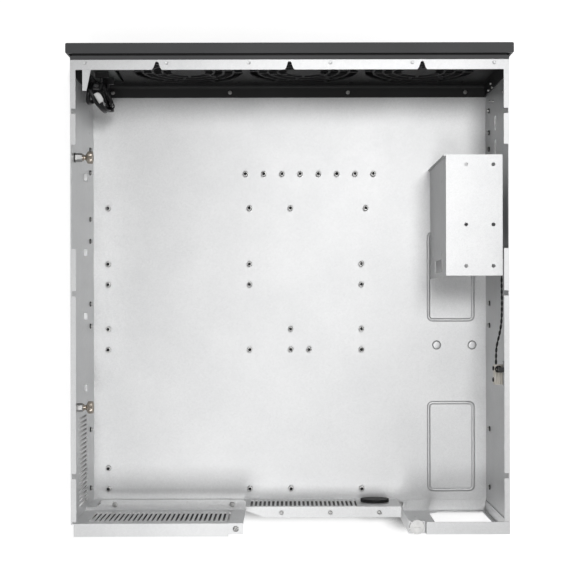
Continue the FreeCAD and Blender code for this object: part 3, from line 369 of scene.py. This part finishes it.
# Spot-weld dimples of the top rail
DIMPLE_PROFILE = [(2.0, 0.0), (1.85, 0.22), (1.6, 0.24), (1.1, 0.1), (0.5, 0.04), (0.0, 0.03)]
DIMPLE_Y = -227.0
DIMPLE_X = (-205.0, -123.0, -41.0, 41.0, 123.0, 205.0)
dimple_places = [at(x, DIMPLE_Y, CASE_TOP) for x in DIMPLE_X]
turned_piece("weld_dimples", DIMPLE_PROFILE, dimple_places, "galvanised", smooth=60.0)

# Inside of the bend between the front wall and its foot lip, sunk a little into both
BEND_R = 3.5
BEND_END_X = 217.4
WALL_SINK = 0.4
LIP_SINK = 0.3
bend = []
for i in range(7):
    angle = math.radians(15.0 * i)
    bend.append((WALL_FOOT_Y + BEND_R * (1 - math.sin(angle)), LIP_TOP + BEND_R * (1 - math.cos(angle))))
bend.append((WALL_FOOT_Y - WALL_SINK, LIP_TOP + BEND_R))
bend.append((WALL_FOOT_Y - WALL_SINK, LIP_TOP - LIP_SINK))
bend.append((WALL_FOOT_Y + BEND_R, LIP_TOP - LIP_SINK))
bm = bmesh.new()
extruded(bm, bend, (-BEND_END_X, BEND_END_X), "X")
piece("lip_bend", bm, "case", "black_steel", 40.0)

# Round clinch standoffs in place of the plain pillars: columns and rows in inches from one corner
STANDOFF_X = 202.3
STANDOFF_Y = 219.5
COLUMNS = (
    (0.0, (0.0, 0.9, 6.1, 7.0, 8.95, 9.85, 12.3)),
    (6.2, (0.0, 6.1, 8.95, 9.85, 12.3)),
    (8.0, (0.0, 6.1, 7.0, 12.3)),
    (8.8, (6.1,)),
    (11.1, (0.0, 6.1, 7.0, 8.95, 9.85)),
    (11.3, (12.3,)),
)
FRONT_ROW = 13.8
FRONT_ROW_COLUMNS = [6.03 + 0.8 * i for i in range(8)]
STANDOFF_PROFILE = [(3.0, 0.0), (3.0, 5.9), (2.8, 6.35), (2.5, 6.5), (1.75, 6.5)]
THREAD_PROFILE = [(1.75, 6.5), (1.45, 6.2), (1.5, 5.8), (1.4, 5.4), (1.5, 5.0), (1.4, 4.6), (1.4, 1.0),
                  (0.0, 0.8)]
spots = [(column, row) for column, rows in COLUMNS for row in rows]
spots += [(column, FRONT_ROW) for column in FRONT_ROW_COLUMNS]
standoff_places = []
for column, row in spots:
    standoff_places.append(at(STANDOFF_X - column * INCH, STANDOFF_Y - row * INCH, FLOOR_TOP))
turned_piece("clinch_standoffs", STANDOFF_PROFILE, standoff_places, "nickel", replaces=["standoffs"])
# The threaded bores' dark colour is painted shade in the holes; their thread ridges are real form
turned_piece("standoff_threads_in_painted_shade", THREAD_PROFILE, standoff_places, "black_steel")

# Captive thumbscrews of the wall


def fluted(flutes, rim, depth):
    """Cuts round flutes into a turned form outside a radius."""
    def shape(spot, angle):
        radius = math.hypot(spot.x, spot.y)
        if radius > rim:
            cut = depth / radius * (0.5 + 0.5 * math.cos(flutes * angle))
            spot = Vector((*(spot.xy * (1.0 - cut)), spot.z))
        return spot
    return shape


KNOB_PROFILE = [(1.9, -0.6), (2.0, 8.2), (3.6, 8.35), (3.7, 8.7), (3.5, 9.3), (2.3, 9.8), (2.2, 10.8),
                (2.9, 11.5), (4.6, 12.5), (5.7, 13.1), (6.1, 13.6), (6.2, 14.0), (6.2, 17.9), (6.0, 18.4),
                (5.3, 18.8), (4.4, 18.9), (3.9, 18.5), (1.2, 18.4), (0.0, 18.3)]
SHADE_WASHER_PROFILE = [(4.9, 0.05), (5.0, 0.4), (4.8, 0.9), (4.1, 1.0), (4.0, 0.1)]
knob_places = {name: at(INNER, y, KNOB_Z, "-X") for name, y in KNOB_Y.items()}
for name, place in knob_places.items():
    turned_piece(name + "_turned", KNOB_PROFILE, [place], "bronze_nickel", 112, fluted(28, 5.6, 0.35),
                 body=name, replaces=[name])
# The dark rings at the wall round each bushing, made as washers, are painted shadow
turned_piece("bushing_shade_rings", SHADE_WASHER_PROFILE, knob_places.values(), "black_steel", 32)

# Moulded body of the intrusion switch, with ribs along its top and a boot round the plunger
LEFT, RIGHT, BASE, TOP = -216.6, -207.6, 142.4, 152.4
GROOVE = 0.9
ribbed = [(LEFT, BASE), (RIGHT, BASE), (RIGHT, TOP - 0.7), (RIGHT - 0.7, TOP)]
ribbed += [(RIGHT - 2.2, TOP), (RIGHT - 2.7, TOP - GROOVE), (RIGHT - 3.9, TOP - GROOVE), (RIGHT - 4.4, TOP)]
ribbed += [(RIGHT - 5.8, TOP), (RIGHT - 6.3, TOP - GROOVE), (RIGHT - 7.4, TOP - GROOVE), (RIGHT - 7.9, TOP)]
ribbed += [(LEFT + 0.5, TOP), (LEFT, TOP - 0.6)]
stepped = [(LEFT, BASE), (RIGHT, BASE), (RIGHT, TOP - 3.0), (RIGHT - 0.8, TOP - 2.2), (LEFT + 0.8, TOP - 2.2),
           (LEFT, TOP - 3.0)]
bm = bmesh.new()
extruded(bm, ribbed, (84.6, 96.9), "Y")
extruded(bm, stepped, (76.6, 84.6), "Y")
piece("switch_moulding", bm, "case", "beige_plastic", 25.0, ["intrusion_switch"])

BOOT_PROFILE = [(3.6, -2.2), (3.6, -1.4), (2.9, -1.1), (3.3, -0.4), (2.8, 0.0), (2.7, 0.8), (2.45, 1.0),
                (2.4, -2.0)]
TERMINAL_PROFILE = [(2.3, -0.4), (2.4, 0.6), (2.0, 1.2), (1.3, 1.2), (1.0, 0.8), (0.0, 0.8)]
TERMINAL_Z = 148.0
terminal_places = [at(RIGHT, y, TERMINAL_Z, "X") for y in (80.4, 92.0)]
turned_piece("plunger_boot", BOOT_PROFILE, [at(-212.1, 81.2, TOP)], "black_rubber", 32)
turned_piece("switch_terminals", TERMINAL_PROFILE, terminal_places, "black_plastic", 20)

# Pressed beads and bosses of the floor, rounded over


def rounded_loop(x, y, radius, steps=8):
    """Points and outward directions round a rectangle with round corners, in mm."""
    corners = ((x[1] - radius, y[1] - radius, 0), (x[0] + radius, y[1] - radius, 1),
               (x[0] + radius, y[0] + radius, 2), (x[1] - radius, y[0] + radius, 3))
    loop = []
    for cx, cy, quarter in corners:
        for i in range(steps + 1):
            angle = math.pi / 2 * (quarter + i / steps)
            out = Vector((math.cos(angle), math.sin(angle), 0))
            loop.append((Vector((cx, cy, 0)) + radius * out, out))
    return loop


BEAD_X = (-204.3, -154.8)
BEAD_Y = ((-65.0, 32.0), (124.4, 221.4))
BEAD_CORNER = 4.8
BEAD_HALF = 1.9
BEAD_HEIGHT = 1.05
BEAD_STEPS = 8
BOSS_PROFILE = [(5.1, 0.0), (4.75, 0.6), (4.4, 0.95), (3.4, 1.15), (1.6, 1.22), (0.0, 1.22)]
bm = bmesh.new()
for bead_y in BEAD_Y:
    rings = []
    for spot, out in rounded_loop(BEAD_X, bead_y, BEAD_CORNER):
        ring = []
        for i in range(BEAD_STEPS + 1):
            angle = math.pi * i / BEAD_STEPS
            lift = Vector((0, 0, FLOOR_TOP + BEAD_HEIGHT * math.sin(angle)))
            ring.append(bm.verts.new((spot + out * BEAD_HALF * math.cos(angle) + lift) * MM))
        rings.append(ring)
    for low, high in zip(rings, rings[1:] + rings[:1]):
        for i in range(BEAD_STEPS):
            bm.faces.new((low[i], low[i + 1], high[i + 1], high[i]))
for x in (-163.8, -203.3):
    turned(bm, BOSS_PROFILE, at(x, 60.0, FLOOR_TOP), 28)
piece("floor_beads", bm, "case", "galvanised", 60.0)

# Leads


def line_of(points):
    """Points along the smooth line of a route given in mm."""
    curve = bpy.data.curves.new("guide", "CURVE")
    curve.dimensions = "3D"
    curve.resolution_u = 16
    spline = curve.splines.new("NURBS")
    spline.points.add(len(points) - 1)
    for point, spot in zip(spline.points, points):
        point.co = (*(Vector(spot) * MM), 1.0)
    spline.order_u = 3
    spline.use_endpoint_u = True
    guide = bpy.data.objects.new("guide", curve)
    bpy.context.scene.collection.objects.link(guide)
    bpy.context.view_layer.update()
    mesh = bpy.data.meshes.new_from_object(guide)
    line = [v.co.copy() for v in mesh.vertices]
    bpy.data.objects.remove(guide)
    bpy.data.meshes.remove(mesh)
    return line


def frames_of(line):
    """Each point of a line with two directions across it and the length up to it."""
    side = Vector((0, 0, 1))
    run = 0.0
    frames = []
    for i, spot in enumerate(line):
        way = (line[min(i + 1, len(line) - 1)] - line[max(i - 1, 0)]).normalized()
        side = (side - way * side.dot(way)).normalized()
        run += (spot - line[i - 1]).length if i else 0.0
        frames.append((spot, side.copy(), way.cross(side), run))
    return frames


def tube(bm, line, radius, sides):
    """A round tube along a line, closed at both ends."""
    angles = [2 * math.pi * j / sides for j in range(sides)]
    rings = []
    for spot, one, two, _ in frames_of(line):
        ways = [one * math.cos(a) + two * math.sin(a) for a in angles]
        rings.append([bm.verts.new(spot + radius * MM * way) for way in ways])
    for low, high in zip(rings, rings[1:]):
        for j in range(sides):
            bm.faces.new((low[j], low[(j + 1) % sides], high[(j + 1) % sides], high[j]))
    bm.faces.new(rings[0])
    bm.faces.new(rings[-1])


def twisted(name, points, radius, pitch, node):
    """Round strands wound about the route's smooth line."""
    line = line_of(points)
    strand = radius / (1.0 + 1.0 / math.sin(math.pi / STRANDS))
    bm = bmesh.new()
    for k in range(STRANDS):
        wound = []
        for spot, one, two, run in frames_of(line):
            turn = 2 * math.pi * (run / (pitch * MM) + k / STRANDS)
            wound.append(spot + (radius - strand) * MM * (one * math.cos(turn) + two * math.sin(turn)))
        tube(bm, wound, strand, 8)
    return piece(name, bm, "case", "black_jacket", 60.0, [node]), line


def jacketed(name, points, radius, node):
    """One smooth jacket along the route's smooth line."""
    line = line_of(points)
    bm = bmesh.new()
    tube(bm, line, radius, 14)
    return piece(name, bm, "case", "black_jacket", 60.0, [node]), line


def declare(lead, line, radius, stiffness, lay, on_it, length=None):
    """Works out a lead's length and does nothing more with it. Its length is that of its line, unless one is
    given in metres.
    """
    length = length or sum((b - a).length for a, b in zip(line, line[1:]))


# Radii, pitches and routes are in mm, the stated lengths in metres
STRANDS = 2
USB_R = 1.75
OUTER_R = 2.5
PAIR_R = 1.5
GUARD_R = 1.2
USB_LENGTH = 0.1347
PANEL_LENGTH = 0.0648
GUARD_LENGTH = 0.1082
PAIR_PITCH = 15.0
NEXT_PITCH = 2.0
GUARD_PITCH = 12.0
USB_ROUTE = [(198, -225.4, 44), (198, -213.5, 44), (198, -202.5, 49.5), (197, -194.5, 61),
             (196.8, -191, 75), (198.6, -192, 88.5), (201.8, -195.6, 100), (205.5, -200.4, 107.5),
             (207.3, -206.4, 110.6), (207.6, -213.3, 107.4), (207, -218.3, 99.6), (206.4, -219.6, 88.5),
             (206.4, -219.6, 78)]
USB_TWIN = [(198, -225.4, 44), (196.6, -213.5, 44), (194.4, -202.5, 51), (193.2, -195.5, 63),
            (194.4, -192.5, 77), (198.6, -196, 92), (203.4, -201.4, 104), (206, -205.4, 109.5),
            (209.3, -210.4, 110.6), (209.6, -215.3, 106.4), (208.5, -218.3, 99.6), (207.4, -219.6, 88.5),
            (207.4, -219.6, 78)]
USB_OUTER = [(198, -225.4, 44), (200, -214, 45), (203.5, -207, 52), (206, -205, 63),
             (208.4, -203, 75), (210.6, -199.6, 87), (211.8, -198, 96), (211.6, -201, 103),
             (210.6, -206.5, 106.2), (209.6, -212.3, 104.4), (208.2, -217.6, 98.6), (205.4, -219.6, 88.5),
             (205.4, -219.6, 78)]
PANEL_ROUTE = [(198, -225.4, 92), (198, -214.5, 92), (196.6, -206, 91.5), (195.2, -200, 86.5),
               (195, -197.5, 78.5), (195, -196.8, 66.5), (195, -196.8, 54)]
GUARD_ROUTE = [(-210.1, 76.6, 146.9), (-210.1, 67, 146.9), (-210.8, 57.5, 146.4), (-213.8, 46.5, 146),
               (-215.9, 33.5, 146.6), (-216.3, 17.5, 147.4), (-215.9, 0.5, 148), (-216, -16.5, 147.4),
               (-216, -31, 147.4)]


def squared(half_x, half_y):
    """Turns circles of radius 1 into rounded rectangles of these half sizes, in mm."""
    power = 0.35

    def shape(spot, angle):
        radius = math.hypot(spot.x, spot.y)
        across = math.copysign(abs(math.cos(angle)) ** power, math.cos(angle))
        along = math.copysign(abs(math.sin(angle)) ** power, math.sin(angle))
        return Vector((radius * half_x * across, radius * half_y * along, spot.z))
    return shape


USB_PLUG_PROFILE = [(0.0, 63.0), (0.92, 63.0), (1.0, 63.6), (1.0, 69.4), (0.9, 69.8), (0.9, 70.6),
                    (1.0, 71.0), (1.0, 72.4), (0.9, 72.8), (0.9, 73.6), (1.0, 74.0), (1.0, 75.6),
                    (0.74, 76.4), (0.6, 78.0), (0.66, 79.4), (0.5, 79.8), (0.6, 81.2), (0.45, 81.6),
                    (0.52, 83.0), (0.36, 83.6), (0.0, 83.8)]
PANEL_PLUG_PROFILE = [(0.0, 44.0), (0.9, 44.0), (1.0, 44.5), (1.0, 50.2), (0.9, 50.6), (0.9, 51.4),
                      (1.0, 51.8), (1.0, 53.0), (0.8, 54.0), (0.0, 54.2)]
usb_plug = turned_piece("usb_plug_body", USB_PLUG_PROFILE, [at(206.4, -219.6, 0.0)], "black_plastic", 40,
                        squared(5.5, 3.0), replaces=["usb_lead_plug"])
panel_plug = turned_piece("panel_plug_body", PANEL_PLUG_PROFILE, [at(195.0, -196.8, 0.0)], "black_plastic",
                          40, squared(4.2, 1.9), replaces=["panel_lead_plug"])

# Blank flag stuck along the USB lead near the top of its loop
FLAG_EDGE = [(2.0, -0.4), (3.4, 0.5), (5.2, 0.7), (7.2, 0.2), (8.6, -0.5)]
FLAG_ROOT = FLAG_EDGE[0][0]
FLAG_START = Vector((206.6, -204.0, 110.4))
FLAG_END = Vector((201.4, -195.2, 103.4))
FLAG_OUT = Vector((-0.862, -0.507, 0.0))
FLAG_STEPS = 8
FLAG_ARCH = 1.2
FLAG_CLIP = 0.3
FLAG_THICKNESS = 0.3
bm = bmesh.new()
rows = []
for i in range(FLAG_STEPS + 1):
    share = i / FLAG_STEPS
    spine = FLAG_START.lerp(FLAG_END, share) + Vector((0, 0, FLAG_ARCH * math.sin(math.pi * share)))
    clip = 1.0 - FLAG_CLIP * (2 * share - 1) ** 4
    row = []
    for out, lift in FLAG_EDGE:
        across = FLAG_OUT * (FLAG_ROOT + (out - FLAG_ROOT) * clip)
        row.append(bm.verts.new((spine + across + Vector((0, 0, lift))) * MM))
    rows.append(row)
for low, high in zip(rows, rows[1:]):
    for j in range(len(FLAG_EDGE) - 1):
        bm.faces.new((low[j], low[j + 1], high[j + 1], high[j]))
flag = piece("lead_flag", bm, "case", "white_tag", 60.0, ["lead_tag"])
thick = flag.modifiers.new("thickness", "SOLIDIFY")
thick.thickness = FLAG_THICKNESS * MM

usb_lead = jacketed("usb_cable", USB_ROUTE, USB_R, "usb_lead")
declare(*usb_lead, USB_R, "medium", "hanging", [usb_plug, flag], USB_LENGTH)
usb_lead = jacketed("usb_cable_twin", USB_TWIN, USB_R, "usb_lead")
declare(*usb_lead, USB_R, "medium", "hanging", [usb_plug])
usb_lead = jacketed("usb_cable_outer", USB_OUTER, OUTER_R, "usb_lead")
declare(*usb_lead, OUTER_R, "medium", "hanging", [usb_plug])

# The panel lead's pairs leave its route by these steps in X and Y, by a share at each of its points
PAIR_STEPS = ((0.0, 0.0), (4.2, 1.2), (-4.4, -1.4), (-7.6, 0.8))
PAIR_SHARE = (0.0, 0.35, 0.8, 1.0, 1.0, 0.75, 0.0)
for k, (x, y) in enumerate(PAIR_STEPS):
    points = [(p[0] + x * share, p[1] + y * share, p[2]) for p, share in zip(PANEL_ROUTE, PAIR_SHARE)]
    pair = twisted("panel_pair_%d" % k, points, PAIR_R, PAIR_PITCH + NEXT_PITCH * k, "panel_lead")
    declare(*pair, PAIR_R, "limp", "hanging", [panel_plug], None if k else PANEL_LENGTH)
guard_lead = twisted("intrusion_wires", GUARD_ROUTE, GUARD_R, GUARD_PITCH, "intrusion_lead")
declare(*guard_lead, GUARD_R, "limp", "loose", ["intrusion_lead_plug"], GUARD_LENGTH)

for name, obj in nodes.items():
    dress(obj, slot_of[name])

# Floor, light and camera


def band(m, place, low, high, soft):
    """1 between low and high along an axis of the floor, fading to 0 over soft, in metres."""
    steps = []
    for start, end in ((low - soft, low), (high + soft, high)):
        step = m.add("ShaderNodeMapRange", interpolation_type="SMOOTHSTEP")
        m.put(step.inputs["Value"], place)
        step.inputs["From Min"].default_value = start
        step.inputs["From Max"].default_value = end
        steps.append(step.outputs["Result"])
    return m.calc("MULTIPLY", *steps)


def pale_floor():
    m = Nodes("pale_floor")
    pale = m.ramp(m.noise(40.0, 3.0, 0.5), (0.3, 0.79), (0.7, 0.81))
    split = m.add("ShaderNodeSeparateXYZ")
    m.put(split.inputs[0], m.place)
    x, y = split.outputs["X"], split.outputs["Y"]
    # Painted shade: the floor's colour and glow are darkened close under a wall, so vents and holes don't
    # show it as background
    near = m.add("ShaderNodeAmbientOcclusion", samples=16)
    near.inputs["Distance"].default_value = 0.025
    painted_ao_shade = m.calc("POWER", near.outputs["AO"], 7.0)
    # Painted shadow: a strip behind the rear left corner, which is seen through the vents above it, is
    # darkened too
    painted_shadow_strip = m.calc("MULTIPLY", band(m, x, 0.074, 0.216, 0.02), band(m, y, 0.232, 0.253, 0.012))
    dim = m.calc("MULTIPLY", painted_ao_shade, m.calc("SUBTRACT", 1.0, painted_shadow_strip))
    # Painted light: the patch seen through the power-supply opening is lifted back to nearly as pale as the
    # open floor
    painted_light_patch = m.calc("MULTIPLY", band(m, x, -0.224, -0.152, 0.014), band(m, y, 0.243, 0.258, 0.016))
    painted_shade_and_light = m.calc("MAXIMUM", dim, m.calc("MULTIPLY", painted_light_patch, 0.86))
    # The floor's colour goes dark where the painted shade falls and stays pale where the painted light lifts
    # it
    m.set(Base_Color=m.mix(painted_shade_and_light, (0.05, 0.05, 0.05, 1.0), pale), Roughness=0.9)
    m.shader.inputs["Specular IOR Level"].default_value = 0.1
    # Seen directly, in a reflection or through clear plastic, the floor also glows, and its glow carries the
    # same painted shade and painted light
    path = m.add("ShaderNodeLightPath")
    seen = m.calc("MAXIMUM", path.outputs["Is Camera Ray"], path.outputs["Is Glossy Ray"])
    seen = m.calc("MAXIMUM", seen, path.outputs["Is Transmission Ray"])
    glow = m.add("ShaderNodeEmission")
    m.put(glow.inputs["Strength"], m.calc("MULTIPLY", m.calc("MULTIPLY", seen, painted_shade_and_light), 0.65))
    total = m.add("ShaderNodeAddShader")
    m.put(total.inputs[0], m.shader.outputs[0])
    m.put(total.inputs[1], glow.outputs[0])
    m.put(m.tree.nodes["Material Output"].inputs["Surface"], total.outputs[0])
    return m.mat


FLOOR_REACH = 12.0
FLOOR_DROP = 0.0004
corners = [(x * FLOOR_REACH, y * FLOOR_REACH, 0) for x, y in ((-1, -1), (1, -1), (1, 1), (-1, 1))]
floor_mesh = bpy.data.meshes.new("studio_floor")
floor_mesh.from_pydata(corners, [], [(0, 1, 2, 3)])
floor_mesh.materials.append(pale_floor())
floor = bpy.data.objects.new("studio_floor", floor_mesh)
bpy.context.scene.collection.objects.link(floor)
floor.location.z = -FLOOR_DROP

# Sky that is white at the horizon and grey overhead: stops along Z, each with its brightness
SKY_STOPS = ((0.1, 1.0), (0.85, 0.26))
SKY_STRENGTH = 0.6
world = bpy.data.worlds.new("studio")
bpy.context.scene.world = world
world.use_nodes = True
sky = world.node_tree
way = sky.nodes.new("ShaderNodeTexCoord")
split = sky.nodes.new("ShaderNodeSeparateXYZ")
sky.links.new(way.outputs["Generated"], split.inputs[0])
fade = sky.nodes.new("ShaderNodeValToRGB")
sky.links.new(split.outputs["Z"], fade.inputs["Fac"])
for element, (position, grey) in zip(fade.color_ramp.elements, SKY_STOPS):
    element.position = position
    element.color = (grey, grey, grey, 1.0)
sky.links.new(fade.outputs["Color"], sky.nodes["Background"].inputs["Color"])
sky.nodes["Background"].inputs["Strength"].default_value = SKY_STRENGTH


def softbox(name, place, aim, size, power):
    """A rectangular lamp that points from its place at its aim, in metres."""
    light = bpy.data.lights.new(name, "AREA")
    light.shape = "RECTANGLE"
    light.size, light.size_y = size
    light.energy = power
    obj = bpy.data.objects.new(name, light)
    obj.location = place
    obj.rotation_euler = (Vector(aim) - Vector(place)).to_track_quat("-Z", "Y").to_euler()
    bpy.context.scene.collection.objects.link(obj)


softbox("key_softbox", (-0.23, -0.45, 2.6), (-0.1, -0.12, 0.0), (0.5, 0.5), 11.0)
softbox("rear_softbox", (0.1, 0.55, 2.6), (0.04, 0.17, 0.0), (0.36, 0.55), 8.0)
softbox("wall_softbox", (-1.6, -0.05, 0.95), (0.21, -0.05, 0.09), (0.8, 0.6), 7.5)

# The photograph's camera: its picture is PHOTO_PX across and its focal length is FOCAL_PX
PHOTO_PX = 570.0
FOCAL_PX = 1509.0
SENSOR = 36.0
camera = bpy.data.cameras.new("camera")
camera.sensor_width = SENSOR
camera.lens = FOCAL_PX * SENSOR / PHOTO_PX
camera.shift_x = -3.0 / PHOTO_PX
camera.shift_y = 25.0 / PHOTO_PX
camera.clip_end = 60.0
eye = bpy.data.objects.new("camera", camera)
eye.location = (0.00205, 0.0206, 1.687)
eye.rotation_euler = (0.0, 0.0, math.pi - 0.002)
bpy.context.scene.collection.objects.link(eye)
bpy.context.scene.camera = eye
bpy.context.scene.view_settings.view_transform = "Standard"
